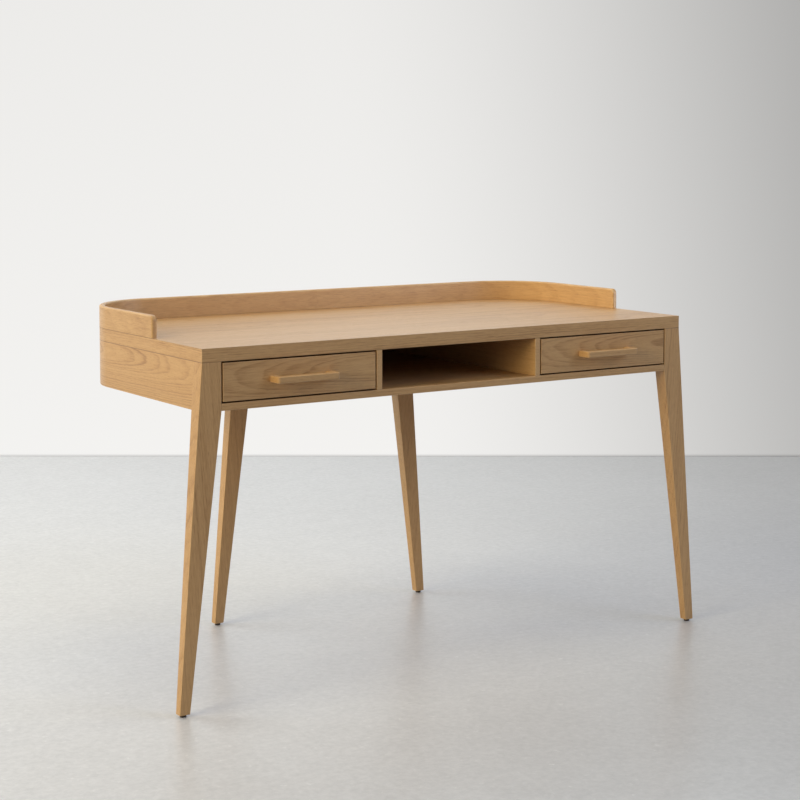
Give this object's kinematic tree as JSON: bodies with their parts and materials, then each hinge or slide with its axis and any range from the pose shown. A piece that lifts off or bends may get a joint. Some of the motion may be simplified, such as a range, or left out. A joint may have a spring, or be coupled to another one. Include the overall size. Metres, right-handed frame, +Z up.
{
  "type": "writing desk with drawers",
  "caption": "Oak writing desk with tapered splayed legs, a shallow rounded-back case, an open cubby between flush drawers with C-shaped pulls, and a low bent gallery rail.",
  "frame": {"origin": "on the floor, under the middle of the outer box", "axes": "+X to the sitter's right, +Y to the back of the desk, +Z up"},
  "size_m": [1.4156, 0.681, 0.815],
  "materials": {
    "oak_top": "satin lacquered oak veneer",
    "oak_shell": "satin lacquered oak veneer",
    "oak_leg": "satin lacquered solid oak",
    "oak_drawer": "satin lacquered oak veneer",
    "oak_pull": "satin lacquered solid oak",
    "oak_case": "satin lacquered oak veneer",
    "plain_timber": "plain sawn timber",
    "dowel_wood": "beech",
    "drawer_box_wood": "satin plywood",
    "slide_steel": "zinc plated",
    "screw_steel": "zinc plated",
    "brass_insert": "plain",
    "glide_plastic": "matte dark brown"
  },
  "bodies": {
    "desk_frame": {"desktop": "oak_top", "gallery_rail_left": "oak_top", "gallery_rail_right": "oak_top", "rail_dowels": "dowel_wood", "side_shell_left": "oak_shell", "side_shell_right": "oak_shell", "back_panel": "oak_shell", "case_bottom": "oak_case", "top_dowels": "dowel_wood", "case_dowels": "dowel_wood", "divider_left": "oak_case", "divider_right": "oak_case", "divider_screws": "screw_steel", "front_leg_left": "oak_leg", "front_leg_right": "oak_leg", "leg_block_left": "plain_timber", "leg_block_right": "plain_timber", "leg_inserts": "brass_insert", "front_leg_bolts": "screw_steel", "rear_leg_left": "oak_leg", "rear_leg_right": "oak_leg", "rear_leg_bolts": "screw_steel", "rear_leg_nuts": "screw_steel", "foot_glides": "glide_plastic", "slide_packer_left": "plain_timber", "slide_packer_right": "plain_timber", "top_cleats": "plain_timber", "cleat_screws": "screw_steel", "slide_screws": "screw_steel", "left_slide_outer_a": "slide_steel", "left_slide_outer_b": "slide_steel", "right_slide_outer_a": "slide_steel", "right_slide_outer_b": "slide_steel"},
    "left_drawer": {"left_drawer_front": "oak_drawer", "left_drawer_pull": "oak_pull", "left_pull_screws": "screw_steel", "left_box_front": "drawer_box_wood", "left_box_side_a": "drawer_box_wood", "left_box_side_b": "drawer_box_wood", "left_box_back": "drawer_box_wood", "left_box_bottom": "drawer_box_wood", "left_front_screws": "screw_steel", "left_slide_inner_a": "slide_steel", "left_slide_inner_b": "slide_steel"},
    "right_drawer": {"right_drawer_front": "oak_drawer", "right_drawer_pull": "oak_pull", "right_pull_screws": "screw_steel", "right_box_front": "drawer_box_wood", "right_box_side_a": "drawer_box_wood", "right_box_side_b": "drawer_box_wood", "right_box_back": "drawer_box_wood", "right_box_bottom": "drawer_box_wood", "right_front_screws": "screw_steel", "right_slide_inner_a": "slide_steel", "right_slide_inner_b": "slide_steel"},
    "left_slide_middles": {"left_slide_middle_a": "slide_steel", "left_slide_middle_b": "slide_steel"},
    "right_slide_middles": {"right_slide_middle_a": "slide_steel", "right_slide_middle_b": "slide_steel"}
  },
  "joints": [
    {"name": "left_drawer_slide", "type": "slide", "parent": "desk_frame", "child": "left_drawer", "axis": [0, -1, 0], "range_m": [0, 0.35]},
    {"name": "left_middle_slide", "type": "slide", "parent": "desk_frame", "child": "left_slide_middles", "axis": [0, -1, 0], "range_m": [0, 0.175]},
    {"name": "right_drawer_slide", "type": "slide", "parent": "desk_frame", "child": "right_drawer", "axis": [0, -1, 0], "range_m": [0, 0.35]},
    {"name": "right_middle_slide", "type": "slide", "parent": "desk_frame", "child": "right_slide_middles", "axis": [0, -1, 0], "range_m": [0, 0.175]}
  ],
  "couplings": [
    {"joint": "left_middle_slide", "follows": "left_drawer_slide", "ratio": 0.5},
    {"joint": "right_middle_slide", "follows": "right_drawer_slide", "ratio": 0.5}
  ]
}
